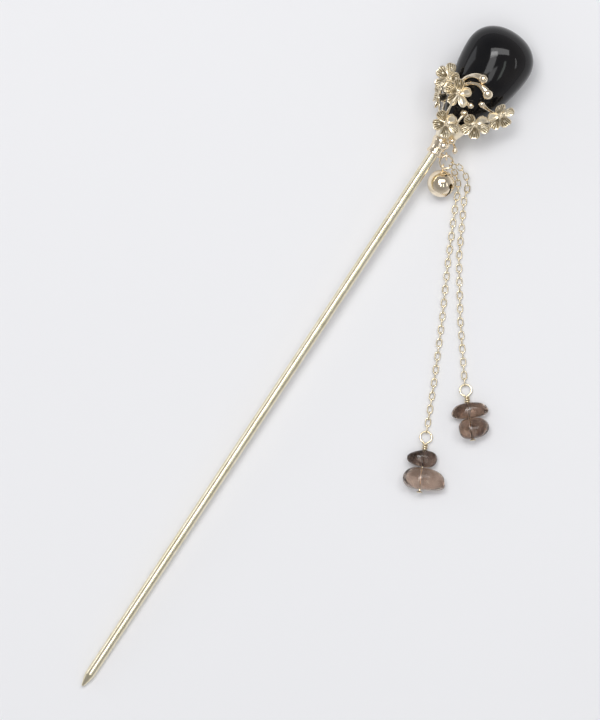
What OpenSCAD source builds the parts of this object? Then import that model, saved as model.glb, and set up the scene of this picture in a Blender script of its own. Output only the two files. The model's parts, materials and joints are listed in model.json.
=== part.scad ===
// Hair pin with a flowered stone head and a bell-and-chain tassel, lying on a table.
// Millimetres. +X runs along the rod toward the head, +Z is up from the table,
// the tassel lies on the -Y side. The origin is the middle of the footprint at table level.

/* [Rod] */
// Rod from its tip to the collar
rod_length = 144; // [130:1:160]
// Rod diameter
rod_d = 2.2; // [2:0.05:2.4]
// Length of the tapered tip
tip_length = 3; // [2:0.5:5]
// Diameter of the blunt end of the tip
tip_d = 0.7; // [0.5:0.1:1]
// Lift of the rod from its tip to the head, degrees
tilt = 2.1; // [2.05:0.01:2.2]

/* [Stone] */
// Where the stone starts, along the rod line from the collar
stone_start = 5; // [4.5:0.1:5.2]
// Where the stone is widest
stone_widest = 25; // [24.5:0.1:25.5]
// Where the stone's crown is
stone_crown = 32.2; // [31.5:0.1:33]
// Width of the stone
stone_width = 16; // [15.6:0.1:16.2]
// Thickness of the stone as a share of its width
stone_flatness = 0.84; // [0.8:0.01:0.85]
// How far the stone's middle leans to the tassel side
stone_lean = 0.45; // [0.3:0.05:0.6]

/* [Blossoms] */
// Diameter of a blossom over its petals
blossom_d = 7; // [6.6:0.1:7.2]
// Thickness of a petal
petal_t = 0.3; // [0.25:0.01:0.35]
// How far the petals are turned up from flat, degrees
petal_lift = 14; // [8:1:20]

/* [Vine and buds] */
// Diameter of the vine wires
vine_d = 0.6; // [0.5:0.05:0.7]
// Diameter of the stems of the two long buds
stem_d = 0.7; // [0.6:0.05:0.8]

/* [Rings and bell] */
// Wire diameter of the eye, the jump ring and the bell's loop
ring_wire_d = 0.5; // [0.45:0.01:0.52]
// Middle radius of the jump ring
ring_r = 1.5; // [1.45:0.01:1.55]
// Outer diameter of the bell
bell_d = 6.2; // [6:0.1:6.3]
// Wall of the bell
bell_wall = 0.3; // [0.25:0.01:0.35]
// Width of the bell's slit
slit_w = 0.5; // [0.4:0.05:0.7]
// Diameter of the round ends of the slit
slit_hole_d = 1.3; // [1:0.1:1.5]
// Diameter of the loose pea in the bell
pea_d = 1.8; // [1.5:0.1:2]

/* [Chains] */
// Outer length of a chain link
link_l = 2.14; // [2.1:0.01:2.18]
// Outer width of a chain link
link_w = 1.4; // [1.3:0.05:1.4]
// Wire diameter of a chain link
link_d = 0.3; // [0.26:0.01:0.3]

/* [Charms] */
// Wire diameter of the wrapped headpins
pin_wire_d = 0.4; // [0.36:0.02:0.42]
// Middle radius of a headpin's loop
pin_loop_r = 1.3; // [1.25:0.01:1.35]

/* [Hidden] */
$fn = 64;

gold = [0.86, 0.79, 0.58];
pale_gold = [0.92, 0.86, 0.68];
black = [0.06, 0.06, 0.07];
smoke = [0.36, 0.3, 0.26, 0.8];

rod_r = rod_d / 2;
// where the visible end of the rod sits over the table and in the footprint
end_x = 55.87;
end_y = 17.62;
end_z = rod_r + (rod_length - tip_length) * sin(tilt);

// ---- small helpers -------------------------------------------------------
function unit(v) = v / norm(v);
function total(v, n) = n <= 0 ? 0 : v[n - 1] + total(v, n - 1);

// rod line: x along the rod from the collar, y to the left, z up and square to the rod
module on_rod() translate([end_x, end_y, end_z]) rotate([0, -tilt, 0]) children();

// tassel line: x the way the tassel hangs off the rod, y away from the rod's tip, z up
tassel_turn = 213.4;
module on_tassel() translate([end_x, end_y, 0]) rotate([0, 0, tassel_turn]) children();

// a round wire bent along the circle through three points
module wire_arc(p, q, s, r) {
    a = q - p;
    b = s - p;
    n = cross(a, b);
    c = p + (b * b * cross(n, a) + a * a * cross(b, n)) / (2 * n * n);
    ex = unit(p - c);
    ez = unit(n);
    ey = cross(ez, ex);
    turn = atan2((s - c) * ey, (s - c) * ex);
    multmatrix([[ex.x, ey.x, ez.x, c.x], [ex.y, ey.y, ez.y, c.y], [ex.z, ey.z, ez.z, c.z], [0, 0, 0, 1]])
        rotate_extrude(angle = turn < 0 ? turn + 360 : turn)
            translate([norm(p - c), 0]) circle(r, $fn = 32);
}

// a closed ring of wire round the z axis
module torus(big, small) rotate_extrude() translate([big, 0]) circle(small, $fn = 32);

// ---- rod, collar and stone setting ---------------------------------------
rod_sunk = 2;      // how far the rod goes into the collar
root_r = rod_r + 0.05;
root_length = 12;  // the rod swells slightly toward the collar over this length
post_r = 0.6;      // brass post glued into the stone
post_top = 14;
setting_end = 8.2; // rim of the cup round the stone

module rod() color(gold) on_rod() rotate([0, -90, 0]) rotate_extrude()
    polygon([[0, -rod_sunk], [root_r, -rod_sunk], [root_r, 0], [rod_r, root_length],
        [rod_r, rod_length - tip_length],
        [tip_d / 2, rod_length - 0.25], [tip_d / 2 - 0.2, rod_length], [0, rod_length]]);

module collar() color(gold) on_rod() rotate([0, 90, 0]) rotate_extrude()
    polygon([[root_r, -0.5], [1.65, -0.7], [1.85, -0.3], [1.6, 0.5], [1.75, 1.5], [2.15, 2.5],
        [2.15, 3.2], [post_r, 3.2], [post_r, rod_sunk], [root_r, rod_sunk]]);

module stone_cup() color(gold) on_rod() rotate([0, 90, 0]) rotate_extrude()
    polygon([[post_r, 3.2], [1.9, 3.2], [2.5, 4.6], [3.3, 6.6], [3.75, setting_end],
        [3.4, setting_end], [2.9, 6.6], [2.0, 4.7], [post_r, 4.6]]);

module stone_post() color(gold) on_rod() rotate([0, 90, 0])
    translate([0, 0, rod_sunk]) cylinder(r = post_r, h = post_top - rod_sunk);

// half-width of the stone at a station along the rod line, as a share of its greatest
function stone_share(x) = x < stone_widest
    ? pow(1 - pow((stone_widest - x) / (stone_widest - stone_start), 1.7), 0.75)
    : pow(1 - pow((x - stone_widest) / (stone_crown - stone_widest), 2.3), 0.47);
function stone_mid(x) = -stone_lean * min(1, max(0, (x - stone_start) / 12));
function stone_hw(x) = stone_width / 2 * stone_share(x);
// height of the stone's skin over the rod line at a point beside it
function skin(x, y) = stone_flatness * stone_hw(x)
    * sqrt(max(0, 1 - pow((y - stone_mid(x)) / stone_hw(x), 2)));
function on_skin(x, y, up) = [x, y, skin(x, y) + up];
function under_skin(x, y, down) = [x, y, -skin(x, y) - down];

module stone() {
    rings = 30;
    around = 36;
    // stations crowd toward both ends, where the skin curves most
    at = [for (i = [1:rings]) stone_start + (stone_crown - stone_start) * (1 - cos(180 * i / (rings + 1))) / 2];
    points = concat([[stone_start, stone_mid(stone_start), 0]],
        [for (x = at) for (k = [0:around - 1]) let (t = 360 * k / around)
            [x, stone_mid(x) + stone_hw(x) * cos(t), stone_flatness * stone_hw(x) * sin(t)]],
        [[stone_crown, stone_mid(stone_crown), 0]]);
    last = rings * around + 1;
    faces = concat(
        [for (k = [0:around - 1]) [0, 1 + k, 1 + (k + 1) % around]],
        [for (i = [0:rings - 2]) for (k = [0:around - 1]) for (half = [0, 1])
            let (a = 1 + i * around + k, b = 1 + i * around + (k + 1) % around)
            half == 0 ? [a, a + around, b] : [b, a + around, b + around]],
        [for (k = [0:around - 1]) let (a = 1 + (rings - 1) * around)
            [a + (k + 1) % around, a + k, last]]);
    color(black) on_rod() difference() {
        polyhedron(points, faces);
        rotate([0, 90, 0]) cylinder(r = post_r + 0.02, h = post_top + 0.3);
    }
}

// ---- flowers, vine and buds ----------------------------------------------
// one cast blossom facing +z: five dished petals, a hub and five stamens
module blossom_body() {
    reach = blossom_d / 2;
    petal_r = 0.36 * reach;
    dish = 3;
    hub_t = 0.36;
    stamen_r = 0.22;
    cylinder(r = petal_r, h = hub_t, center = true);
    translate([0, 0, hub_t / 2]) sphere(2 * stamen_r, $fn = 40);
    for (k = [0:4]) rotate([0, 0, 72 * k]) {
        translate([0, 0, -0.22]) rotate([0, -petal_lift, 0]) translate([reach - petal_r, 0, 0]) intersection() {
            difference() {
                translate([0, 0, dish]) sphere(dish);
                translate([0, 0, dish]) sphere(dish - petal_t);
            }
            translate([0, 0, -1]) cylinder(r = petal_r, h = 2);
        }
        rotate([0, 0, 36]) translate([3.4 * stamen_r, 0, hub_t / 2]) sphere(stamen_r, $fn = 32);
    }
}
// at: hub centre on the rod line; roll: turn of its face from up toward the left;
// lean: turn of its face toward the tip; spin: turn of its petals; size: share of the full size
module blossom(at, roll, lean, spin, size = 1)
    color(pale_gold) on_rod() translate(at) rotate([-roll, 0, 0]) rotate([0, -lean, 0]) rotate([0, 0, spin])
        scale(size) blossom_body();

// hub centres, on the rod line
top_c = on_skin(14.1, 2.65, 1.35);
crown_left_c = [15.5, 6.3, 3.3];
left_side_c = [11.2, 5.9, 1.3];
collar_c = [6.9, 1.2, 4.5];
center_c = [10.1, -4.1, 4.2];
right_c = [14.8, -7.6, 3.0];
under_left_c = [12.3, 4.4, -4.28];
under_right_c = [12.3, -5.0, -4.33];
under_middle_c = [7.6, -0.6, -4.5];
side_size = 0.86;
under_size = 0.75;

module blossom_top() blossom(top_c, 14, 22, 28);
module blossom_crown_left() blossom(crown_left_c, 40, 6, 10);
module blossom_left_side() blossom(left_side_c, 78, 24, 40, side_size);
module blossom_collar() blossom(collar_c, 10, 30, 60);
module blossom_center() blossom(center_c, -26, 24, 5);
module blossom_right() blossom(right_c, -38, 14, 48);
module blossom_under_left() blossom(under_left_c, 132, 20, 15, under_size);
module blossom_under_right() blossom(under_right_c, -132, 20, 50, under_size);
module blossom_under_middle() blossom(under_middle_c, 184, 28, 30, under_size);

vine_r = vine_d / 2;
// each vine runs from the cup or another blossom to a blossom's hub
module vine_frame() color(gold) on_rod() {
    wire_arc([7.0, -0.3, 3.5], [9.2, -0.7, 5.0], on_skin(10.9, -0.8, 0.9), vine_r);
    wire_arc([6.6, 1.1, 3.1], [6.9, 1.3, 3.8], collar_c, vine_r);
    wire_arc([7.2, 1.9, 3.2], [10.8, 2.7, 4.9], top_c, vine_r);
    wire_arc([7.2, -2.3, 2.7], [8.7, -3.4, 3.7], center_c, vine_r);
    wire_arc(center_c, [12.5, -6.3, 4.1], right_c, vine_r);
    wire_arc([7.2, 3.4, 0.9], [9.3, 4.9, 1.3], left_side_c, vine_r);
    wire_arc(left_side_c, [14.3, 6.9, 2.5], crown_left_c, vine_r);
    wire_arc([7.2, 2.7, -2.2], [9.7, 3.9, -3.5], under_left_c, vine_r);
    wire_arc([7.2, -2.7, -2.2], [9.7, -4.3, -3.4], under_right_c, vine_r);
    wire_arc([6.7, -0.5, -3.3], [7.0, -0.6, -3.9], under_middle_c, vine_r);
}

stem_r = stem_d / 2;
long_bud_r = [1.1, 1.25];
module bud_long_upper() color(pale_gold) on_rod() {
    top = on_skin(19.6, -0.1, long_bud_r[0] + 0.05);
    wire_arc(on_skin(15.3, 3.4, 0.95), on_skin(18.9, 2.3, 0.8), top, stem_r);
    translate(top) sphere(long_bud_r[0]);
}
module bud_long_lower() color(pale_gold) on_rod() {
    top = on_skin(17.3, -2.76, long_bud_r[1] + 0.1);
    wire_arc(on_skin(14.9, 3.0, 1.1), on_skin(17.8, 0.6, 0.65), top, stem_r);
    translate(top) sphere(long_bud_r[1]);
}
small_bud_r = [0.75, 0.72, 0.88];
module buds_small() color(pale_gold) on_rod() {
    fork = on_skin(14.7, -2.9, small_bud_r[0] + 0.16);
    translate(fork) sphere(small_bud_r[0]);
    wire_arc(fork, on_skin(14.5, -4.4, 0.8), right_c + [-0.2, 1.0, -0.1], 0.24);
    bud = on_skin(13.1, -1.05, small_bud_r[1] + 0.08);
    translate(bud) sphere(small_bud_r[1]);
    wire_arc(bud, on_skin(13.2, 0.1, 0.75), top_c + [-0.2, -0.8, -0.2], 0.24);
    translate(on_skin(10.9, -0.8, small_bud_r[2] + 0.1)) sphere(small_bud_r[2]);
}
module collar_balls() color(pale_gold) on_rod() {
    translate([2.2, -0.85, 2.75]) sphere(1.1);
    translate([4.2, -1.95, 2.3]) sphere(0.8);
    side_ball = [2.6, -3.75, 1.7];
    translate(side_ball) sphere(0.6);
    wire_arc([3.9, -1.9, 1.0], [3.5, -3.0, 1.6], side_ball, 0.24);
}

// ---- eye, jump ring and bell ---------------------------------------------
wire_r = ring_wire_d / 2;
eye_r = 0.75;
eye_c = [1.0, 2.65, 5.36];        // on the tassel line
ring_slope = 30;
ring_dir = [cos(ring_slope), 0, -sin(ring_slope)];
ring_c = eye_c + ring_r * ring_dir;
function ring_out(turn) = cos(turn) * ring_dir + sin(turn) * [0, 1, 0];
function on_ring(turn) = ring_c + ring_r * ring_out(turn);
function ring_along(turn) = -sin(turn) * ring_dir + cos(turn) * [0, 1, 0];

module tassel_eye() color(gold) on_tassel() difference() {
    union() {
        translate(eye_c) rotate([90, 0, 0]) torus(eye_r, wire_r);
        translate(eye_c + [-eye_r, 0, 0]) rotate([90, 0, 180 - tassel_turn]) cylinder(r = 0.28, h = 1.3);
    }
    // the stub stops at the rod's skin inside the collar
    translate([0, 0, end_z]) rotate([0, 0, -tassel_turn]) rotate([0, 90 - tilt, 0])
        translate([0, 0, -5]) cylinder(r = 1.6, h = 10);
}

module jump_ring() color(gold) on_tassel() translate(ring_c) rotate([0, ring_slope, 0])
    rotate([0, 0, -88]) rotate_extrude(angle = 356) translate([ring_r, 0]) circle(wire_r, $fn = 32);

bell_turn = -30;                 // where the bell hangs on the jump ring
bell_r = bell_d / 2;
bell_c = [7.05, 1.5, bell_r];
bell_hang = on_ring(bell_turn);
bell_axis = unit(bell_c - bell_hang);
bell_yaw = atan2(bell_axis.y, bell_axis.x);
bell_pitch = asin(bell_axis.z);
slit_roll = 42;
bell_loop_r = 0.62;
bell_loop_wire = 0.2;
// bell frame: x from the loop to the bell's far pole, z up
module on_bell() on_tassel() translate(bell_c) rotate([0, 0, bell_yaw]) rotate([0, -bell_pitch, 0]) children();

module bell_shell() color(gold) on_bell() difference() {
    sphere(bell_r, $fn = 96);
    sphere(bell_r - bell_wall, $fn = 96);
    rotate([slit_roll, 0, 0]) {
        translate([0, -bell_r - 1, -slit_w / 2]) cube([bell_r + 1, 2 * bell_r + 2, slit_w]);
        translate([0, bell_r + 1, 0]) rotate([90, 0, 0]) cylinder(d = slit_hole_d, h = 2 * bell_r + 2);
    }
}
module bell_loop() color(gold) on_bell()
    translate([-bell_r - bell_loop_r - bell_loop_wire + 0.12, 0, 0]) rotate([90, 0, 0])
        torus(bell_loop_r, bell_loop_wire);
module bell_pea() color(gold) on_tassel()
    translate(bell_c - [0, 0, bell_r - bell_wall - pea_d / 2 - 0.05]) sphere(d = pea_d);

// ---- chains ----------------------------------------------------------------
wire_gap = 0.03;
link_step = link_l - 2 * link_d - wire_gap;
// from a link's middle to the middle of its end wire, and to the ring wire it hangs on
link_end = link_l / 2 - link_d / 2;
hook_gap = 0.12;
link_hook = link_l / 2 - link_d - wire_r - hook_gap;

// each chain: [turn on the ring, links in each part, first and last heading of the drop,
//              steepest slope, start and pace of the slope, headings of the flat parts]
long_chain = [40, [6, 9, 9, 9, 8], [40, -15], 35, [1, 0.6], [-7.5, -5.8, -7.2, -8.6]];
short_chain = [80, [7, 9, 9, 10], [64, -22], 33.6, [0.5, 0.8], [-5, 1.2, 4]];

// part of the chain that a link belongs to
function part_of(c, i, k = 0) = i < total(c[1], k + 1) ? k : part_of(c, i, k + 1);
function heading(c, i) = i < c[1][0]
    ? c[2][0] + (c[2][1] - c[2][0]) * i / (c[1][0] - 1)
    : c[5][part_of(c, i) - 1];
function slope(c, i) = i < c[1][0]
    ? -c[3] * sin(180 * pow((i + c[4][0]) / (c[1][0] - 1 + c[4][0] + 0.3), c[4][1])) : 0;
function link_dir(c, i) = [cos(slope(c, i)) * cos(heading(c, i)), cos(slope(c, i)) * sin(heading(c, i)), sin(slope(c, i))];
function link_at(c, i) = i == 0
    ? on_ring(c[0]) + link_hook * link_dir(c, 0)
    : link_at(c, i - 1) + link_step / 2 * (link_dir(c, i - 1) + link_dir(c, i));
function count(c) = total(c[1], len(c[1]));

// a stadium of wire lying flat along x
module chain_link() {
    bow = link_w / 2 - link_d / 2;
    half = (link_l - link_w) / 2;
    for (side = [-1, 1]) {
        translate([side * half, 0, 0]) rotate([0, 0, -90 * side]) rotate_extrude(angle = 180)
            translate([bow, 0]) circle(link_d / 2, $fn = 24);
        translate([-half, side * bow, 0]) rotate([0, 90, 0]) cylinder(d = link_d, h = 2 * half, $fn = 24);
    }
}
module chain_part(c, k) color(gold) on_tassel()
    for (i = [total(c[1], k) : total(c[1], k + 1) - 1])
        translate(link_at(c, i)) rotate([0, 0, heading(c, i)]) rotate([0, -slope(c, i), 0])
            rotate([i % 2 == 0 ? 90 : 0, 0, 0]) chain_link();

module long_chain_top() chain_part(long_chain, 0);
module long_chain_upper() chain_part(long_chain, 1);
module long_chain_middle() chain_part(long_chain, 2);
module long_chain_lower() chain_part(long_chain, 3);
module long_chain_end() chain_part(long_chain, 4);
module short_chain_top() chain_part(short_chain, 0);
module short_chain_upper() chain_part(short_chain, 1);
module short_chain_middle() chain_part(short_chain, 2);
module short_chain_end() chain_part(short_chain, 3);

// ---- charms ----------------------------------------------------------------
pin_r = pin_wire_d / 2;
// each charm: [chain, heading, slope up onto the chips, length of wire below the loop]
long_charm = [long_chain, -7, 9.5, 11.4];
short_charm = [short_chain, 8, 11, 10.35];
function charm_at(m) = link_at(m[0], count(m[0]) - 1) + link_end * link_dir(m[0], count(m[0]) - 1)
    + (-link_d / 2 - wire_gap - pin_r) * link_dir(m[0], count(m[0]) - 1);
// charm frame: origin at the loop's wire where the last link holds it, x down the headpin
module on_charm(m) on_tassel() translate(charm_at(m)) rotate([0, 0, m[1]]) rotate([0, -m[2], 0]) children();

stem_start = 2 * pin_loop_r - 0.05;
chips_start = stem_start + 1.75;
module charm_wire(m) color(gold) on_charm(m) {
    translate([pin_loop_r, 0, 0]) torus(pin_loop_r, pin_r);
    translate([stem_start, 0, 0]) rotate([0, 90, 0]) cylinder(r = pin_r, h = m[3] - 0.1);
    // three turns of wrapping, then the flared end just below the lower chip
    for (k = [0:2]) translate([stem_start + 0.5 + 0.42 * k, 0, 0]) rotate([0, 90, 0]) torus(0.38, pin_r);
    translate([stem_start + m[3] - 0.4, 0, 0]) rotate([0, 90, 0]) cylinder(r1 = pin_r, r2 = 0.75, h = 0.4);
}
module long_charm_wire() charm_wire(long_charm);
module short_charm_wire() charm_wire(short_charm);

// a tumbled chip drilled along x: half sizes, offset of its middle from the wire, unevenness
module chip(size, mid, uneven) {
    rings = 14;
    around = 26;
    function r_at(t, x) = 1 + uneven * (0.6 * sin(2 * t + 40) + 0.5 * sin(3 * t - 70) * (1 - x * x));
    points = concat([[-size.x, mid.x, mid.y]],
        [for (i = [1:rings]) let (x = -cos(180 * i / (rings + 1)), w = pow(1 - pow(abs(x), 2.6), 0.48))
            for (k = [0:around - 1]) let (t = 360 * k / around)
                [size.x * x, mid.x + size.y * w * r_at(t, x) * cos(t), mid.y + size.z * w * r_at(t, x) * sin(t)]],
        [[size.x, mid.x, mid.y]]);
    last = rings * around + 1;
    faces = concat(
        [for (k = [0:around - 1]) [0, 1 + k, 1 + (k + 1) % around]],
        [for (i = [0:rings - 2]) for (k = [0:around - 1]) for (half = [0, 1])
            let (a = 1 + i * around + k, b = 1 + i * around + (k + 1) % around)
            half == 0 ? [a, a + around, b] : [b, a + around, b + around]],
        [for (k = [0:around - 1]) let (a = 1 + (rings - 1) * around)
            [a + (k + 1) % around, a + k, last]]);
    color(smoke) difference() {
        polyhedron(points, faces);
        translate([-size.x - 1, 0, 0]) rotate([0, 90, 0]) cylinder(r = pin_r + 0.03, h = 2 * size.x + 2, $fn = 32);
    }
}
module long_charm_chip_small() on_charm(long_charm)
    translate([chips_start + 1.95, 0, 0]) chip([1.9, 3.5, 1.73], [-0.3, 0], 0.05);
module long_charm_chip_large() on_charm(long_charm)
    translate([chips_start + 6.5, 0, 0]) chip([2.45, 4.8, 2.48], [0.7, 0], 0.05);
module short_charm_chip_flat() on_charm(short_charm)
    translate([chips_start + 1.75, 0, 0]) chip([1.7, 4.0, 1.7], [-0.1, 0], 0.05);
module short_charm_chip_round() on_charm(short_charm)
    translate([chips_start + 5.85, 0, 0]) chip([2.3, 3.35, 2.5], [0.45, 0], 0.06);

// ---- drawing -----------------------------------------------------------------
rod();
collar();
stone_cup();
stone_post();
stone();
vine_frame();
blossom_top();
blossom_crown_left();
blossom_left_side();
blossom_collar();
blossom_center();
blossom_right();
blossom_under_left();
blossom_under_right();
blossom_under_middle();
bud_long_upper();
bud_long_lower();
buds_small();
collar_balls();
tassel_eye();
jump_ring();
bell_shell();
bell_loop();
bell_pea();
long_chain_top();
long_chain_upper();
long_chain_middle();
long_chain_lower();
long_chain_end();
long_charm_wire();
long_charm_chip_small();
long_charm_chip_large();
short_chain_top();
short_chain_upper();
short_chain_middle();
short_chain_end();
short_charm_wire();
short_charm_chip_flat();
short_charm_chip_round();
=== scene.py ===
"""Looks of the ornamental hair pin.

A gilt rod, a black stone in a cage of cast blossoms, and a tassel of a bell, two chains and smoky chips.
"""

import json
import math

import bmesh
import bpy
import numpy as np
from mathutils import Matrix, Vector, noise


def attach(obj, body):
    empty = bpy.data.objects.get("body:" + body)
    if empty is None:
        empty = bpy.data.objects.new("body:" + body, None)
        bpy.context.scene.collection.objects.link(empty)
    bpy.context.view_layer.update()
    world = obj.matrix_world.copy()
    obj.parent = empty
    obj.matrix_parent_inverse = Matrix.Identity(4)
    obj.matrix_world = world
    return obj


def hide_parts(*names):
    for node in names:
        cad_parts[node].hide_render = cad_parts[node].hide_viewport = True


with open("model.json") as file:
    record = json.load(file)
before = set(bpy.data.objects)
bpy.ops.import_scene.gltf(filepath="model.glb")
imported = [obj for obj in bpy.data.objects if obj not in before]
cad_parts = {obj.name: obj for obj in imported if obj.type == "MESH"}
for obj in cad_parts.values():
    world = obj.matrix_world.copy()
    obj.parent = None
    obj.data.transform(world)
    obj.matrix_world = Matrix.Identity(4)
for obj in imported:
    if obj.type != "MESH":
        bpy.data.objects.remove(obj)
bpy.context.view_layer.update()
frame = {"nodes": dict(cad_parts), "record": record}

MM = 0.001
UP = Vector((0, 0, 1))
JOINTS = {j["name"]: j for j in frame["record"]["behaviour"]["joints"]}


# ---- places, all from the frame ---------------------------------------------------------------
def basis(at, x, z):
    """Matrix at a point, with its x axis along x and its z axis as near to z as it can be."""
    x = x.normalized()
    y = z.cross(x).normalized()
    m = Matrix((x, y, x.cross(y))).transposed().to_4x4()
    m.translation = at
    return m


def joint_at(name):
    return Vector(JOINTS[name]["pos_m"])


def joint_axis(name):
    return Vector(JOINTS[name]["axis"])


rod_mount = frame["record"]["mounts"][0]
ROD_R = rod_mount["dims"]["r_mm"] * MM
ROD_SUNK = 2 * MM                              # how far the rod goes into the collar
rod_dir = -Vector(rod_mount["axis"]).normalized()
rod_mid = Vector(rod_mount["pos_m"])
rod_reach = [rod_dir.dot(v.co - rod_mid) for v in frame["nodes"]["rod"].data.vertices]
ROD_L = max(rod_reach) - min(rod_reach) - ROD_SUNK
collar_at = rod_mid + rod_dir * (max(rod_reach) - ROD_SUNK)
ROD_LINE = basis(collar_at, rod_dir, UP)       # x toward the stone, y to the left, z up


# ---- mesh helpers -------------------------------------------------------------------------------
class Shape:
    """Collects the verts and faces of one piece, in metres, with a groove depth for each vertex, the mask
    for painted shade.
    """

    def __init__(self):
        self.verts, self.faces, self.groove = [], [], []

    def add(self, verts, faces, m=None, groove=None):
        first = len(self.verts)
        self.verts += [m @ Vector(v) for v in verts] if m else [Vector(v) for v in verts]
        self.faces += [tuple(first + i for i in f) for f in faces]
        self.groove += groove or [0.0] * len(verts)

    def make(self, name, material, body, slot, *nodes, sharp=40):
        mesh = bpy.data.meshes.new(name)
        mesh.from_pydata([tuple(v) for v in self.verts], [], self.faces)
        mesh.validate()
        shell = bmesh.new()
        shell.from_mesh(mesh)
        bmesh.ops.recalc_face_normals(shell, faces=shell.faces)
        shell.to_mesh(mesh)
        shell.free()
        # the mask the gold materials use for painted shade
        depth = mesh.attributes.new("groove", "FLOAT", "POINT")
        depth.data.foreach_set("value", self.groove[: len(mesh.vertices)])
        mesh.materials.append(material)
        mesh.shade_smooth()
        mesh.set_sharp_from_angle(angle=math.radians(sharp))
        obj = bpy.data.objects.new(name, mesh)
        bpy.context.scene.collection.objects.link(obj)
        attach(obj, body)
        if nodes:
            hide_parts(*nodes)


def circle(around):
    """The angles of evenly spaced points round a circle."""
    return np.linspace(0, math.tau, around, False)


def grid_faces(rows, around, closed=False):
    """Quads between rows of points, each row a loop; closed joins the last row to the first."""
    faces = []
    for i in range(rows if closed else rows - 1):
        a, b = i * around, (i + 1) % rows * around
        faces += [(a + k, a + (k + 1) % around, b + (k + 1) % around, b + k) for k in range(around)]
    return faces


def capped_faces(rows, around):
    """Faces of a closed skin: a first point, rows of around points, and a last point."""
    last = 1 + rows * around
    faces = [(0, 1 + k, 1 + (k + 1) % around) for k in range(around)]
    faces += [tuple(1 + i for i in face) for face in grid_faces(rows, around)]
    faces += [(last - around + k, last, last - around + (k + 1) % around) for k in range(around)]
    return faces


def lathe(shape, profile, m, around=96):
    """Turns a profile of (along, radius) points round the x axis; a radius of 0 is closed by a fan."""
    verts, rows = [], []
    for x, r in profile:
        rows.append(len(verts))
        if r <= 1e-9:
            verts.append((x, 0, 0))
        else:
            verts += [(x, r * math.cos(t), r * math.sin(t)) for t in circle(around)]
    rows.append(len(verts))
    faces = []
    for i in range(len(profile) - 1):
        a, b = rows[i], rows[i + 1]
        for k in range(around):
            n = (k + 1) % around
            if rows[i + 1] - a == 1:
                faces.append((a, b + k, b + n))
            elif rows[i + 2] - b == 1:
                faces.append((a + k, b, a + n))
            else:
                faces.append((a + k, b + k, b + n, a + n))
    shape.add(verts, faces, m)


def tube(shape, points, radii, m=None, around=20, closed=False):
    """A round tube along points; radii is one radius or one for each point."""
    points = [Vector(p) for p in points]
    count = len(points)
    radii = radii if hasattr(radii, "__len__") else [radii] * count
    ahead = []
    for i in range(count):
        a = points[i - 1] if closed or i else points[0]
        b = points[(i + 1) % count] if closed or i < count - 1 else points[-1]
        ahead.append((b - a).normalized())
    side = ahead[0].orthogonal().normalized()
    sides = [side]
    for i in range(1, count):
        side = (ahead[i - 1].rotation_difference(ahead[i]) @ side).normalized()
        sides.append(side)
    twist = 0.0
    if closed:
        back = ahead[-1].rotation_difference(ahead[0]) @ side
        twist = math.atan2(back.cross(sides[0]).dot(ahead[0]), back.dot(sides[0]))
    verts = []
    for i in range(count):
        other = ahead[i].cross(sides[i])
        turn = twist * i / count
        for t in circle(around):
            spoke = math.cos(t + turn) * sides[i] + math.sin(t + turn) * other
            verts.append(points[i] + radii[i] * spoke)
    faces = grid_faces(count, around, closed)
    if not closed:
        faces.append(tuple(range(around - 1, -1, -1)))
        faces.append(tuple(range((count - 1) * around, count * around)))
    shape.add(verts, faces, m)


def ball(shape, at, r, m=None, flat=1.0, rows=24, around=40):
    """A ball whose poles are its top and bottom; flat squashes it along z."""
    at = Vector(at)
    verts = [at + Vector((0, 0, r * flat))]
    for i in range(1, rows):
        p = math.pi * i / rows
        wide, high = r * math.sin(p), r * flat * math.cos(p)
        verts += [at + Vector((wide * math.cos(t), wide * math.sin(t), high)) for t in circle(around)]
    verts.append(at - Vector((0, 0, r * flat)))
    shape.add(verts, capped_faces(rows - 1, around), m)


def arc(p, q, s, steps=18):
    """Points from p to s along the circle through q."""
    p, q, s = Vector(p), Vector(q), Vector(s)
    a, b = q - p, s - p
    n = a.cross(b)
    centre = p + (b.dot(b) * n.cross(a) + a.dot(a) * b.cross(n)) / (2 * n.dot(n))
    x = (p - centre).normalized()
    y = n.normalized().cross(x)
    r = (p - centre).length
    turn = math.atan2((s - centre).dot(y), (s - centre).dot(x)) % math.tau
    turns = [turn * i / steps for i in range(steps + 1)]
    return [centre + r * (math.cos(t) * x + math.sin(t) * y) for t in turns]


def smooth(low, high, x):
    t = min(1.0, max(0.0, (x - low) / (high - low)))
    return t * t * (3 - 2 * t)


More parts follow.
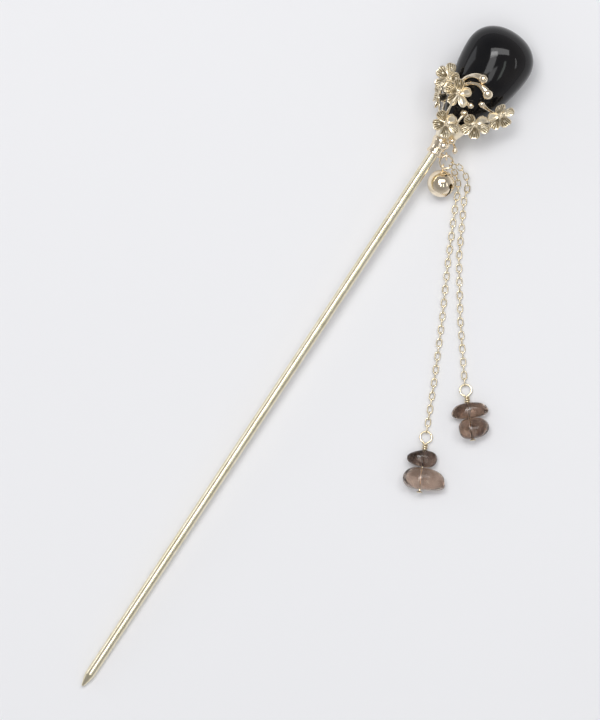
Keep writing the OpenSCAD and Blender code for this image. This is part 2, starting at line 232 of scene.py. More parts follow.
# ---- materials ----------------------------------------------------------------------------------
class Nodes:
    """Short hand for building one material's nodes."""

    def __init__(self, name):
        self.material = bpy.data.materials.new(name)
        self.material.use_nodes = True
        self.tree = self.material.node_tree
        self.shader = self.tree.nodes["Principled BSDF"]
        self.place = self.new("ShaderNodeTexCoord").outputs["Object"]

    def new(self, kind, **inputs):
        node = self.tree.nodes.new(kind)
        for key, value in inputs.items():
            self.set(node, key.replace("_", " "), value)
        return node

    def set(self, node, key, value):
        socket = node.inputs[int(key)] if key.isdigit() else node.inputs[key]
        if isinstance(value, bpy.types.NodeSocket):
            self.tree.links.new(value, socket)
        else:
            socket.default_value = value

    def noise(self, scale, detail=3.0, stretch=None, rough=0.5):
        place = self.place
        if stretch:
            mapping = self.new("ShaderNodeMapping", Vector=place)
            mapping.inputs["Scale"].default_value = stretch[0]
            mapping.inputs["Rotation"].default_value = stretch[1]
            place = mapping.outputs["Vector"]
        node = self.new("ShaderNodeTexNoise", Vector=place, Scale=scale, Detail=detail, Roughness=rough)
        return node.outputs["Fac"]

    def ramp(self, value, low, high, to_low=0.0, to_high=1.0):
        node = self.new("ShaderNodeMapRange", Value=value)
        node.inputs["From Min"].default_value = low
        node.inputs["From Max"].default_value = high
        node.inputs["To Min"].default_value = to_low
        node.inputs["To Max"].default_value = to_high
        return node.outputs["Result"]

    def math(self, how, a, b):
        node = self.new("ShaderNodeMath")
        node.operation = how
        self.set(node, "0", a)
        self.set(node, "1", b)
        return node.outputs[0]

    def mix(self, factor, a, b):
        node = self.new("ShaderNodeMix")
        node.data_type = "RGBA"
        self.set(node, "0", factor)
        self.set(node, "6", (*a, 1) if isinstance(a, tuple) else a)
        self.set(node, "7", (*b, 1) if isinstance(b, tuple) else b)
        return node.outputs[2]

    def attribute(self, name):
        node = self.new("ShaderNodeAttribute")
        node.attribute_name = name
        return node.outputs["Fac"]

    def bump(self, height, strength, distance, under=None):
        node = self.new("ShaderNodeBump", Height=height, Strength=strength, Distance=distance)
        if under:
            self.set(node, "Normal", under)
        return node.outputs["Normal"]

    def finish(self, **inputs):
        for key, value in inputs.items():
            self.set(self.shader, key.replace("_", " "), value)
        return self.material


def plated(name, light, deep, rough, pitted=0.0, grooves=0.0, drawn=False):
    """Plated brass: colour drifts between two golds, fine polishing lines, tiny pits, and painted shade
    that darkens and roughens the grooves.
    """
    n = Nodes(name)
    drift = n.ramp(n.noise(420, 4), 0.35, 0.7)
    colour = n.mix(drift, light, deep)
    wear = n.noise(2600, 5, rough=0.65)
    roughness = n.ramp(wear, 0.3, 0.75, rough[0], rough[1])
    if grooves:
        # painted shade: the groove mask darkens the colour towards dark olive in rib grooves and cupped
        # petal hollows
        groove_shade = n.math("MULTIPLY", n.attribute("groove"), grooves)
        colour = n.mix(groove_shade, colour, (0.22, 0.165, 0.07))
        roughness = n.math("ADD", roughness, n.math("MULTIPLY", groove_shade, 0.2))
    if drawn:
        lines = n.noise(900, 2, stretch=((0.02, 6, 6), (0, 0, 0)))
    else:
        lines = n.noise(5200, 2)
    normal = n.bump(lines, 0.03 if drawn else 0.12, 0.00002)
    if pitted:
        pits = n.ramp(n.noise(1500, 3), 0.42, 0.7)
        normal = n.bump(pits, pitted, 0.00006, under=normal)
    return n.finish(Base_Color=colour, Roughness=roughness, Metallic=1.0, Normal=normal)


# set to the photograph: real black stone and quartz are both near 1.54
STONE_IOR, QUARTZ_IOR = 1.37, 1.42


def black_stone():
    n = Nodes("black_stone")
    clouds = n.ramp(n.noise(95, 5, rough=0.6), 0.38, 0.72)
    colour = n.mix(clouds, (0.0035, 0.0035, 0.0045), (0.013, 0.0115, 0.011))
    haze = n.ramp(n.noise(700, 5, rough=0.7), 0.35, 0.8, 0.06, 0.11)
    normal = n.bump(n.noise(140, 2), 0.05, 0.0003)
    normal = n.bump(n.noise(4200, 3, stretch=((1, 5, 1), (0, 0, 0.6))), 0.02, 0.00002, under=normal)
    return n.finish(Base_Color=colour, Roughness=haze, IOR=STONE_IOR, Normal=normal)


def smoky_quartz(name, light, deep, amount):
    """Clear smoke-brown quartz: bands and clouds of darker smoke, and rims that darken at a low angle."""
    n = Nodes(name)
    clouds = n.noise(330, 4, rough=0.6)
    bands = n.noise(210, 3, stretch=((1, 1, 3.2), (0.5, 0.7, 0.2)))
    smoke = n.ramp(n.math("ADD", clouds, n.math("MULTIPLY", bands, 0.9)), amount[0], amount[1])
    edge = n.new("ShaderNodeLayerWeight", Blend=0.35).outputs["Facing"]
    rim = n.ramp(edge, 0.45, 0.95)
    colour = n.mix(rim, n.mix(smoke, light, deep), tuple(0.45 * c for c in deep))
    haze = n.ramp(n.noise(900, 4, rough=0.7), 0.4, 0.8, 0.0, 0.05)
    normal = n.bump(n.noise(420, 2), 0.06, 0.0002)
    return n.finish(Base_Color=colour, Roughness=haze, IOR=QUARTZ_IOR, Transmission_Weight=0.96,
                    Normal=normal)


rod_gold = plated("rod_gold", (0.93, 0.85, 0.66), (0.82, 0.74, 0.52), (0.2, 0.27), drawn=True)
bright_gold = plated("bright_gold", (0.95, 0.84, 0.67), (0.87, 0.73, 0.52), (0.07, 0.14))
# cast_gold carries the painted shade in its grooves and hollows
cast_gold = plated("cast_gold", (0.98, 0.89, 0.72), (0.93, 0.81, 0.60), (0.26, 0.4),
                   pitted=0.10, grooves=1.0)
chain_gold = plated("chain_gold", (0.90, 0.80, 0.60), (0.76, 0.64, 0.42), (0.12, 0.2))
stone_black = black_stone()
quartz_clear = smoky_quartz("quartz_clear", (0.78, 0.67, 0.59), (0.38, 0.27, 0.21), (0.8, 1.2))
quartz_brown = smoky_quartz("quartz_brown", (0.70, 0.55, 0.45), (0.17, 0.105, 0.075), (0.78, 1.12))
quartz_dark = smoky_quartz("quartz_dark", (0.62, 0.50, 0.43), (0.10, 0.062, 0.045), (0.78, 1.1))


# ---- rod, collar and cup -------------------------------------------------------------------------
def rounded(points, r=0.12, steps=4):
    """The profile with each corner cut by a small curve."""
    out = [points[0]]
    for a, b, c in zip(points, points[1:], points[2:]):
        a, b, c = Vector(a), Vector(b), Vector(c)
        cut = min(r, (a - b).length * 0.45, (c - b).length * 0.45)
        p, q = b + (a - b).normalized() * cut, b + (c - b).normalized() * cut
        out += [tuple(p.lerp(b, i / steps).lerp(b.lerp(q, i / steps), i / steps)) for i in range(steps + 1)]
    return out + [points[-1]]


def mm(points):
    return [tuple(c * MM for c in p) for p in points]


ROD_SWELL, SWELL_LENGTH = 0.05, 12             # the CAD's swell beside the collar, millimetres


def make_rod():
    shape = Shape()
    back = Matrix.Rotation(math.pi, 4, "Z")
    tip, wall, sunk = ROD_L / MM, ROD_R / MM, ROD_SUNK / MM
    swollen = wall + ROD_SWELL
    profile = [(-sunk, 0), (-sunk, wall), (0.2 - sunk, swollen), (0, swollen), (SWELL_LENGTH, wall)]
    profile += [(tip * 0.5, wall), (tip - 3, wall), (tip - 2, 0.86), (tip - 0.25, 0.35)]
    profile += [(tip, 0.15), (tip, 0)]
    lathe(shape, mm(rounded(profile, 0.3)), ROD_LINE @ back, 128)
    shape.make("rod_looks", rod_gold, "pin", "plated_brass", "rod")


def make_collar():
    shape = Shape()
    profile = [(-0.5, 1.1), (-0.7, 1.65), (-0.3, 1.85), (0.5, 1.6), (1.5, 1.75), (2.5, 2.15)]
    profile += [(3.2, 2.15), (3.2, 0.6)]
    lathe(shape, mm(rounded(profile, 0.16)), ROD_LINE)
    shape.make("collar_looks", bright_gold, "pin", "plated_brass", "collar")
    shape = Shape()
    profile = [(3.2, 0.6), (3.2, 1.9), (4.6, 2.5), (6.6, 3.3), (8.2, 3.75)]
    profile += [(8.2, 3.4), (6.6, 2.9), (4.7, 2.0), (4.6, 0.6)]
    lathe(shape, mm(rounded(profile, 0.2)), ROD_LINE)
    shape.make("cup_looks", cast_gold, "pin", "plated_brass", "stone_cup")


# ---- stone ---------------------------------------------------------------------------------------
# along the rod line from the collar, and half its width; millimetres
STONE_START, STONE_WIDEST, STONE_CROWN, STONE_HALF = 5, 25, 32.2, 8
STONE_FLAT = 0.84                              # its depth for its width
STONE_LEAN = 0.45                              # how far its middle stands right of the rod line


def stone_half(x):
    """Half the stone's width at x."""
    if x < STONE_WIDEST:
        return STONE_HALF * (1 - ((STONE_WIDEST - x) / (STONE_WIDEST - STONE_START)) ** 1.7) ** 0.75
    return STONE_HALF * max(0, 1 - ((x - STONE_WIDEST) / (STONE_CROWN - STONE_WIDEST)) ** 2.3) ** 0.47


def stone_mid(x):
    return -STONE_LEAN * min(1, max(0, (x - STONE_START) / 12))


def on_skin(x, y, up):
    """A point over the stone's skin, in millimetres on the rod line."""
    half = stone_half(x)
    across = (y - stone_mid(x)) / half
    return Vector((x, y, STONE_FLAT * half * math.sqrt(max(0, 1 - across ** 2)) + up))


def make_stone():
    shape = Shape()
    rows, around = 110, 144
    verts = [(STONE_START, stone_mid(STONE_START), 0)]
    for i in range(1, rows):
        x = STONE_START + (STONE_CROWN - STONE_START) * (1 - math.cos(math.pi * i / rows)) / 2
        half = stone_half(x)
        mid = stone_mid(x)
        verts += [(x, mid + half * math.cos(t), STONE_FLAT * half * math.sin(t)) for t in circle(around)]
    verts.append((STONE_CROWN, stone_mid(STONE_CROWN), 0))
    shape.add(mm(verts), capped_faces(rows - 1, around), ROD_LINE)
    shape.make("stone_looks", stone_black, "pin", "black_stone", "stone")


# ---- blossoms -------------------------------------------------------------------------------------
def petal(shape, m, length, width, lift, cup, ribs, rim=0.07, curl=0.25):
    """One cast petal, base at the origin, growing along x: a dished blade with a raised rim and ribs.

    Millimetres. lift is its slope in degrees, cup how far the edge stands over the middle, ribs how many
    grooves run from the base, rim the height of the raised edge, and curl how far the tip bends down.
    """
    rings, around, thick = 13, 60, 0.26
    groove_depth, edge_bulge = 0.22, 0.07
    centre = Vector((0.58 * length, 0))
    top, bottom, groove = [], [], []

    def outline(t):
        u, v = math.cos(t), math.sin(t)
        notch = 0.05 * length * math.exp(-((t if t < math.pi else math.tau - t) / 0.3) ** 2)
        return Vector((length * (0.52 + 0.48 * u) - notch, v * width / 2 * (0.8 + 0.2 * u)))

    def height(x, y, ring):
        rise = x * math.tan(math.radians(lift)) - curl * (x / length) ** 4
        return rise + cup * ring ** 3 + 0.22 * (2 * y / width) ** 2

    def ribbing(x, y, ring):
        if not ribs:
            return 0.0
        spread = math.atan2(y, x + 0.35 * length) / math.atan2(width / 2, 0.95 * length)
        wave = abs(math.cos(math.pi * ribs * spread / 2))
        return (wave ** 1.8) * smooth(0.08, 0.25, ring) * (1 - smooth(0.86, 0.95, ring))

    for i in range(rings + 1):
        ring = i / rings
        edge = rim * math.exp(-(((ring - 0.94) / 0.06) ** 2))
        for t in circle(around):
            p = centre + (outline(t) - centre) * ring
            z = height(p.x, p.y, ring)
            rib = ribbing(p.x, p.y, ring)
            top.append((p.x, p.y, z + thick / 2 + edge - groove_depth * rib))
            bottom.append((p.x, p.y, z - thick / 2))
            # the mask for painted shade: the rib grooves on ribbed petals, and towards the middle of a
            # cupped smooth petal
            groove.append(rib if ribs else 0.25 * (1 - ring) * cup)
    count = len(top)
    verts = mm(top) + mm(bottom)
    outer = rings * around
    bulge = []
    for k, t in enumerate(circle(around)):
        out = (outline(t) - centre).normalized() * edge_bulge
        a, b = top[outer + k], bottom[outer + k]
        bulge.append((a[0] + out.x, a[1] + out.y, (a[2] + b[2]) / 2))
    verts += mm(bulge)
    faces = grid_faces(rings + 1, around)
    faces += [tuple(count + i for i in reversed(face)) for face in faces]
    for k in range(around):
        n = (k + 1) % around
        faces.append((outer + k, outer + n, 2 * count + n, 2 * count + k))
        faces.append((2 * count + k, 2 * count + n, count + outer + n, count + outer + k))
    shape.add(verts, faces, m, groove + [0.0] * (count + around))


def wobble(seed):
    """A steady number from -1 to 1 for each seed."""
    return math.sin(seed * 12.9898 + 4.1) * 0.6 + math.sin(seed * 7.233 + 1.7) * 0.4


# hub on the rod line in millimetres; roll of its face to the left, lean of its face to the tip and spin of
# its petals, in degrees; size; and which petals are smooth
BLOSSOMS = {
    "blossom_top": (on_skin(14.1, 2.65, 1.35), 14, 22, 28, 1, (4, 3)),
    "blossom_crown_left": (Vector((15.5, 6.3, 3.3)), 40, 6, 10, 1, ()),
    "blossom_left_side": (Vector((11.2, 5.9, 1.3)), 78, 24, 40, 0.86, ()),
    "blossom_collar": (Vector((6.9, 1.2, 4.5)), 10, 30, 60, 1, (4,)),
    "blossom_center": (Vector((10.1, -4.1, 4.2)), -26, 24, 5, 1, (0,)),
    "blossom_right": (Vector((14.8, -7.6, 3.0)), -38, 14, 48, 1, (1,)),
    "blossom_under_left": (Vector((12.3, 4.4, -4.28)), 132, 20, 15, 0.75, ()),
    "blossom_under_right": (Vector((12.3, -5.0, -4.33)), -132, 20, 50, 0.75, ()),
    "blossom_under_middle": (Vector((7.6, -0.6, -4.5)), 184, 28, 30, 0.75, ()),
}
BLOSSOM_REACH = 3.5
PETALS = 5


def blossom(name, hub, roll, lean, spin, size, plain):
    shape = Shape()
    m = ROD_LINE @ Matrix.Translation(hub * MM) @ Matrix.Rotation(math.radians(-roll), 4, "X")
    m = m @ Matrix.Rotation(math.radians(-lean), 4, "Y") @ Matrix.Rotation(math.radians(spin), 4, "Z")
    m = m @ Matrix.Scale(size, 4)
    seed = sum(map(ord, name))
    step = 360 / PETALS
    base = Matrix.Translation((0.35 * MM, 0, -0.12 * MM)) @ Matrix.Rotation(math.radians(9), 4, "X")
    length = BLOSSOM_REACH - 0.4
    for k in range(PETALS):
        vary = wobble(seed + k)
        turn = Matrix.Rotation(math.radians(step * k + 4 * wobble(seed + 3 * k)), 4, "Z")
        if k in plain:
            petal(shape, m @ turn @ base, length, 2.75, 11, 0.6, 0, rim=0.16, curl=0.1)
        else:
            grown, width, lift = length + 0.1 * vary, 3.1 + 0.15 * vary, 13 + 4 * vary
            petal(shape, m @ turn @ base, grown, width, lift, 0.3, 7, rim=0.1)
    ball(shape, (0, 0, 0.05 * MM), 0.72 * MM, m, flat=0.6)
    ball(shape, (0, 0, 0.45 * MM), 0.3 * MM, m, rows=12, around=20)
    for k in range(PETALS):
        t = math.radians(step * (k + 0.5))
        at = Vector((0.6 * math.cos(t), 0.6 * math.sin(t), 0.38)) * MM
        ball(shape, at, 0.19 * MM, m, rows=10, around=16)
    shape.make(name + "_looks", cast_gold, "pin", "cast_gold", name, sharp=60)


# ---- vines and buds --------------------------------------------------------------------------------
def hub_of(name):
    return BLOSSOMS[name][0]


def make_vines():
    shape = Shape()
    routes = [
        ((7.0, -0.3, 3.5), (9.2, -0.7, 5.0), on_skin(10.9, -0.8, 0.9)),
        ((6.6, 1.1, 3.1), (6.9, 1.3, 3.8), hub_of("blossom_collar")),
        ((7.2, 1.9, 3.2), (10.8, 2.7, 4.9), hub_of("blossom_top")),
        ((7.2, -2.3, 2.7), (8.7, -3.4, 3.7), hub_of("blossom_center")),
        (hub_of("blossom_center"), (12.5, -6.3, 4.1), hub_of("blossom_right")),
        ((7.2, 3.4, 0.9), (9.3, 4.9, 1.3), hub_of("blossom_left_side")),
        (hub_of("blossom_left_side"), (14.3, 6.9, 2.5), hub_of("blossom_crown_left")),
        ((7.2, 2.7, -2.2), (9.7, 3.9, -3.5), hub_of("blossom_under_left")),
        ((7.2, -2.7, -2.2), (9.7, -4.3, -3.4), hub_of("blossom_under_right")),
        ((6.7, -0.5, -3.3), (7.0, -0.6, -3.9), hub_of("blossom_under_middle")),
    ]
    for number, (p, q, s) in enumerate(routes):
        line = arc(p, q, s, 26)
        radii = [(0.3 + 0.05 * math.sin(i * 0.7 + number)) * MM for i in range(len(line))]
        tube(shape, mm(line), radii, ROD_LINE)
    shape.make("vine_looks", cast_gold, "pin", "cast_gold", "vine_frame")


def bead(shape, at, r):
    """A fine ball on the rod line, in millimetres."""
    ball(shape, at * MM, r * MM, ROD_LINE, rows=32, around=48)


def bud(shape, points, stem, r, steps=26):
    """A stem that runs along an arc and swells into a ball at its end."""
    line = arc(*points, steps)
    swell = 0.8 * r - stem
    radii = []
    for i in range(len(line)):
        along = i / steps
        radii.append((stem * (1.2 - 0.2 * smooth(0, 0.4, along)) + swell * smooth(0.45, 1, along)) * MM)
    tube(shape, mm(line), radii, ROD_LINE, around=24)
    bead(shape, line[-1], r)


def make_buds():
    # each ball's middle stands its radius and a small gap over the stone
    upper_r, lower_r = 1.1, 1.25
    top = on_skin(19.6, -0.1, upper_r + 0.05)
    shape = Shape()
    bud(shape, (on_skin(15.3, 3.4, 0.95), on_skin(18.9, 2.3, 0.85), top), 0.42, upper_r)
    shape.make("bud_long_upper_looks", bright_gold, "pin", "cast_gold", "bud_long_upper")
    low = on_skin(17.3, -2.76, lower_r + 0.1)
    shape = Shape()
    bud(shape, (on_skin(14.9, 3.0, 1.1), on_skin(17.8, 0.6, 0.72), low), 0.42, lower_r)
    shape.make("bud_long_lower_looks", bright_gold, "pin", "cast_gold", "bud_long_lower")
    shape = Shape()
    right, crown = hub_of("blossom_right"), hub_of("blossom_top")
    fork = on_skin(14.7, -2.9, 0.75 + 0.16)
    bud(shape, (right + Vector((-0.2, 1.0, -0.1)), on_skin(14.5, -4.4, 0.8), fork), 0.32, 0.78)
    mid = on_skin(13.1, -1.05, 0.72 + 0.08)
    bud(shape, (crown + Vector((-0.2, -0.8, -0.2)), on_skin(13.2, 0.1, 0.75), mid), 0.32, 0.75)
    bead(shape, on_skin(10.9, -0.8, 0.98), 0.88)
    shape.make("buds_small_looks", bright_gold, "pin", "cast_gold", "buds_small")
    shape = Shape()
    bead(shape, Vector((2.2, -0.85, 2.75)), 1.1)
    bead(shape, Vector((4.2, -1.95, 2.3)), 0.8)
    bud(shape, ((3.9, -1.9, 1.0), (3.5, -3.0, 1.6), (2.6, -3.75, 1.7)), 0.25, 0.6)
    shape.make("collar_balls_looks", bright_gold, "pin", "cast_gold", "collar_balls")


# ---- tassel: eye, ring, bell ------------------------------------------------------------------------
def islands(node):
    """Centre, longest and shortest direction of each loose solid of a CAD node."""
    mesh = frame["nodes"][node].data
    spots = np.array([v.co[:] for v in mesh.vertices])
    merged, where = np.unique(np.round(spots, 7), axis=0, return_inverse=True)
    where = where.reshape(-1)
    owner = list(range(len(merged)))

    def root(i):
        while owner[i] != i:
            owner[i] = owner[owner[i]]
            i = owner[i]
        return i

    for edge in mesh.edges:
        a, b = root(where[edge.vertices[0]]), root(where[edge.vertices[1]])
        owner[a] = b
    groups = {}
    for i in range(len(merged)):
        groups.setdefault(root(i), []).append(merged[i])
    found = []
    for points in groups.values():
        points = np.array(points)
        _, axes = np.linalg.eigh(np.cov((points - points.mean(0)).T))
        long, short = Vector(axes[:, 2]), Vector(axes[:, 0])
        middle = Vector()
        for way in (long, short, long.cross(short)):
            reach = points @ np.array(way)
            middle += way * (reach.min() + reach.max()) / 2
        found.append((middle, long, short))
    return found


def ring_points(r, count=96, gap=0.0):
    """A circle in the xy plane that starts and ends beside +x when it has a gap."""
    span = math.tau - gap
    turns = np.linspace(gap / 2, gap / 2 + span, count, gap > 0)
    return [Vector((r * math.cos(t), r * math.sin(t), 0)) for t in turns]


RING_WIRE, RING_R, EYE_R = 0.25 * MM, 1.5 * MM, 0.75 * MM
eye_at = joint_at("ring_swings_in_eye")
bell_at = joint_at("pea_rolls_in_bell")
bell_axis = joint_axis("pea_rolls_in_bell")
BELL_R = 3.1 * MM
BELL_LOOP_R, BELL_LOOP_WIRE, BELL_LOOP_SUNK = 0.62 * MM, 0.2 * MM, 0.12 * MM


def make_eye():
    shape = Shape()
    m = basis(eye_at, UP, joint_axis("ring_swings_in_eye"))
    tube(shape, ring_points(EYE_R), RING_WIRE, m, closed=True)
    collar_side = collar_at - eye_at
    start = eye_at + (collar_side - collar_side.project(UP)).normalized() * EYE_R
    aim = Vector((collar_at.x - 0.4 * MM, collar_at.y, collar_at.z))
    tube(shape, [start.lerp(aim, i / 6 * 0.45) for i in range(7)], 0.28 * MM)
    shape.make("eye_looks", bright_gold, "pin", "plated_brass", "tassel_eye")


def make_ring():
    shape = Shape()
    middle, _, flat = islands("jump_ring")[0]
    m = basis(middle, bell_at - eye_at, flat) @ Matrix.Rotation(1.6, 4, "Z")    # its cut faces sideways
    tube(shape, ring_points(RING_R, 128, gap=math.radians(4)), RING_WIRE, m)
    shape.make("jump_ring_looks", bright_gold, "jump_ring", "plated_brass", "jump_ring")


make_rod()
make_collar()
make_stone()
for name, row in BLOSSOMS.items():
    blossom(name, *row)
make_vines()
make_buds()


# ---- chains -------------------------------------------------------------------------------------------
LINK_L, LINK_W, LINK_WIRE = 2.14, 1.4, 0.3     # outside length and width, and wire, millimetres
LINK_THIN = 0.93       # the drawn wire for the CAD's: thinner, to clear the bell at the joints' limits


def link_path(steps=10):
    """Middle line of one link in the xy plane, long side along x, in millimetres."""
    half, bow = (LINK_L - LINK_W) / 2, LINK_W / 2 - LINK_WIRE / 2
    out = []
    for side in (1, -1):
        for i in range(steps + 1):
            t = math.pi * (i / steps - 0.5)
            out.append(Vector((side * (half + bow * math.cos(t)), side * bow * math.sin(t), 0)))
        out.append(Vector((0, side * bow, 0)))
    return out


def make_chain(node):
    shape = Shape()
    for middle, long, flat in islands(node):
        m = basis(middle, long, flat)
        tube(shape, mm(link_path()), LINK_THIN * LINK_WIRE / 2 * MM, m, around=14, closed=True)
    shape.make(node + "_looks", chain_gold, node, "chain_gold", node)


for node in frame["nodes"]:
    if "_chain_" in node:
        make_chain(node)
make_eye()
make_ring()


# ---- bell -----------------------------------------------------------------------------------------------
def make_bell():
    frame["nodes"]["bell_shell"].data.materials[0] = bright_gold
    frame["nodes"]["bell_pea"].data.materials[0] = rod_gold
    shape = Shape()
    centre = bell_at - bell_axis * (BELL_R + BELL_LOOP_R + BELL_LOOP_WIRE - BELL_LOOP_SUNK)
    m = basis(centre, bell_axis, bell_axis.cross(UP))
    tube(shape, ring_points(BELL_LOOP_R), BELL_LOOP_WIRE, m, closed=True)
    shape.make("bell_loop_looks", bright_gold, "bell", "plated_brass", "bell_loop")


make_bell()


# ---- charms ----------------------------------------------------------------------------------------------
LOOP_R, PIN_R = 1.3, 0.2                       # middle line of the loop, and the wire; millimetres
STEM_START = 2 * LOOP_R - 0.05
CHIPS_START = STEM_START + 1.75                # past the wraps


def charm_line(which, chip_joint):
    """Origin at the loop's wire where the last link holds it, x down the headpin, z up."""
    x = joint_axis(chip_joint)
    return basis(joint_at(which + "_charm_swings"), x, x.cross(-joint_axis(which + "_charm_swings")))


def make_headpin(which, m, length):
    """One wire: flared foot, stem, round loop, and almost two and a half wraps round the stem."""
    shape = Shape()
    foot = STEM_START + length
    line = [Vector((foot - 0.3 - (foot - STEM_START - 0.9) * i / 24, 0, 0)) for i in range(25)]
    # the loop's two ends pass each other by a little in z
    for t in np.linspace(math.radians(14), math.radians(346), 56):
        line.append(Vector((LOOP_R + LOOP_R * math.cos(t), LOOP_R * math.sin(t), 0.12 * (t / math.pi - 1))))
    wraps, pitch, r = 2.4, 0.56, 0.5
    for t in np.linspace(0, wraps * math.tau, 60):
        line.append(Vector((STEM_START + 0.3 + pitch * t / math.tau, -r * math.cos(t), r * math.sin(t))))
    tube(shape, mm(line), PIN_R * MM, m, around=16)
    flare = [(-0.4, 0.1), (-0.4, 0.2), (-0.12, 0.6), (0, 0.75), (0.05, 0.6), (0.08, 0)]
    lathe(shape, mm([(foot + x, r) for x, r in flare]), m, 40)
    shape.make(which + "_headpin_looks", chain_gold, which + "_charm", "chain_gold", which + "_charm_wire")


def make_chip(node, body, m, material, at, half, mid, seed, bend=0.0, shear=0.0, taper=0.0, full=0.8):
    """A tumbled chip with a drilled channel along x; sizes in millimetres.

    at is its middle along x, half its three half sizes, and mid how far its middle stands off the channel
    in y and z. bend bows its long sides along x, shear slants it, taper makes its -y end slimmer, and a
    lower full squares it off.
    """
    shape = Shape()
    rows, around, channel = 44, 72, PIN_R + 0.03
    verts = []
    for i in range(rows + 1):
        a = math.pi * i / rows
        x, w = -half[0] * math.cos(a), math.sin(a) ** full
        for t in circle(around):
            spot = Vector((1.3 * math.cos(t) + seed, 1.3 * math.sin(t), x * 0.45 + seed))
            lump = 1 + 0.1 * w * noise.noise(spot)
            lump += 0.03 * w * math.sin(3 * t + seed)
            y = mid[0] * w + (channel + (half[1] - channel) * w) * math.cos(t) * lump
            z = mid[1] * w + (channel + (half[2] - channel) * w) * math.sin(t) * lump
            across = y / half[1]
            slim = 1 - taper * smooth(0, 1, -across) * 0.5
            verts.append((x * slim + bend * across * across * w + shear * across * w, y, z))
    inner = 8                                  # steps back along the channel's wall
    for i in range(1, inner):
        x = half[0] * (1 - 2 * i / inner)
        verts += [(x, channel * math.cos(t), channel * math.sin(t)) for t in circle(around)]
    faces = grid_faces(rows + inner, around, closed=True)
    shape.add(mm(verts), faces, m @ Matrix.Translation((at * MM, 0, 0)))
    shape.make(node + "_looks", material, body, "smoky_quartz", node, sharp=80)


def make_charms():
    long = charm_line("long", "long_charm_small_chip_turns")
    make_headpin("long", long, 11.4)
    make_chip("long_charm_chip_small", "long_chip_small", long, quartz_dark, CHIPS_START + 1.95,
              (1.9, 3.5, 1.75), (-0.25, 0), 3.1, shear=-0.2, taper=0.5, full=0.7)
    make_chip("long_charm_chip_large", "long_chip_large", long, quartz_clear, CHIPS_START + 6.5,
              (2.45, 4.8, 2.5), (0.8, 0), 8.7, bend=0.35, shear=0.1, taper=-0.15, full=0.72)
    short = charm_line("short", "short_charm_flat_chip_turns")
    make_headpin("short", short, 10.35)
    make_chip("short_charm_chip_flat", "short_chip_flat", short, quartz_brown, CHIPS_START + 1.75,
              (1.7, 4.0, 1.7), (0.3, 0), 5.3, bend=0.3, full=0.6)
    make_chip("short_charm_chip_round", "short_chip_round", short, quartz_brown, CHIPS_START + 5.85,
              (2.3, 3.35, 2.5), (0.5, 0), 1.9, full=0.75)


make_charms()


# ---- floor, light and camera ----------------------------------------------------------------------------
RIGHT, AHEAD = Vector((0.551, -0.835, 0)), Vector((0.835, 0.551, 0))   # across and up the picture
VIEW_AT = Vector((0.2, 17.1, 6)) * MM
VIEW_HEIGHT = 1.796                            # metres from VIEW_AT up to the camera
LENS = 400                                     # millimetres
FLOOR_HALF, FLOOR_Z = 3.0, -0.06 * MM          # metres; a little under the CAD's lowest point


def make_floor():
    n = Nodes("floor_paper")
    tone = n.ramp(n.noise(6, 2), 0.3, 0.7)
    colour = n.mix(tone, (0.86, 0.86, 0.875), (0.87, 0.87, 0.885))
    n.finish(Base_Color=colour, Roughness=0.85, Normal=n.bump(n.noise(1800, 3), 0.03, 0.00003))
    n.shader.inputs["Specular IOR Level"].default_value = 0.1
    mesh = bpy.data.meshes.new("floor")
    corners = ((-1, -1), (1, -1), (1, 1), (-1, 1))
    mesh.from_pydata([(x * FLOOR_HALF, y * FLOOR_HALF, FLOOR_Z) for x, y in corners], [], [(0, 1, 2, 3)])
    mesh.materials.append(n.material)
    floor = bpy.data.objects.new("floor", mesh)
    bpy.context.scene.collection.objects.link(floor)


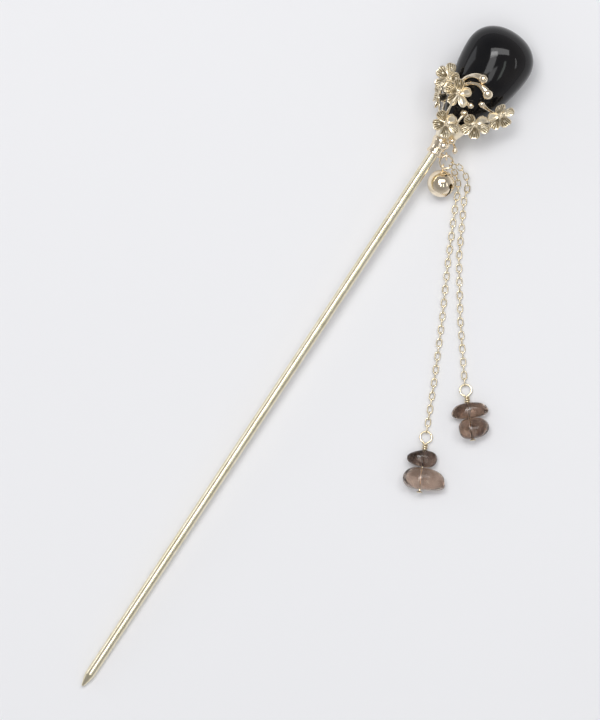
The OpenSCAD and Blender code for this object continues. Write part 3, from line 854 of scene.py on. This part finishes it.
def panel(name, across, ahead, up, size, power, colour=(1, 1, 1)):
    """A soft light turned to VIEW_AT, metres from it across the picture, up the picture and over it."""
    light = bpy.data.lights.new(name, "AREA")
    light.shape = "RECTANGLE"
    light.size, light.size_y = size
    light.energy = power
    light.color = colour
    obj = bpy.data.objects.new(name, light)
    at = VIEW_AT + RIGHT * across + AHEAD * ahead + UP * up
    obj.matrix_world = basis(at, RIGHT, at - VIEW_AT)
    obj.visible_camera = False
    bpy.context.scene.collection.objects.link(obj)


def make_sky():
    """A dim grey room, a little darker overhead."""
    world = bpy.data.worlds.new("studio")
    world.use_nodes = True
    tree = world.node_tree
    place = tree.nodes.new("ShaderNodeTexCoord")
    split = tree.nodes.new("ShaderNodeSeparateXYZ")
    tree.links.new(place.outputs["Generated"], split.inputs[0])
    bands = tree.nodes.new("ShaderNodeValToRGB")
    tree.links.new(split.outputs["Z"], bands.inputs[0])
    ramp = bands.color_ramp
    ramp.elements[0].position, ramp.elements[0].color = 0.15, (0.50, 0.50, 0.52, 1)
    ramp.elements[1].position, ramp.elements[1].color = 0.6, (0.32, 0.32, 0.33, 1)
    back = tree.nodes["Background"]
    tree.links.new(bands.outputs[0], back.inputs["Color"])
    back.inputs["Strength"].default_value = 1.0
    bpy.context.scene.world = world


def make_studio():
    make_sky()
    panel("side", -1.15, 0.42, 0.3, (1.0, 0.35), 1.5, (0.93, 0.96, 1))
    # a broad light over the pin with a dark gap at its lower right, seen as an arch in the stone
    panel("arch_top", 0.15, 0.42, 1.0, (1.0, 0.36), 4.75)
    panel("arch_corner", -0.18, 0.3, 1.05, (0.34, 0.24), 1.9)
    panel("arch_left", -0.2, 0.0, 1.06, (0.3, 0.36), 1.1)
    panel("arch_low", 0.0, -0.3, 1.05, (0.22, 0.26), 0.45)
    panel("arch_inner", 0.38, -0.3, 0.96, (0.1, 0.45), 0.3, (0.9, 1, 0.92))
    panel("arch_right", 0.85, -0.15, 0.65, (0.1, 0.5), 0.5)
    camera = bpy.data.cameras.new("camera")
    camera.lens = LENS
    camera.sensor_fit = "VERTICAL"
    camera.sensor_height = 36
    obj = bpy.data.objects.new("camera", camera)
    m = Matrix((RIGHT, AHEAD, RIGHT.cross(AHEAD))).transposed().to_4x4()
    m.translation = VIEW_AT + UP * VIEW_HEIGHT
    obj.matrix_world = m
    bpy.context.scene.collection.objects.link(obj)
    bpy.context.scene.camera = obj
    bpy.context.scene.view_settings.view_transform = "Standard"


make_floor()
make_studio()
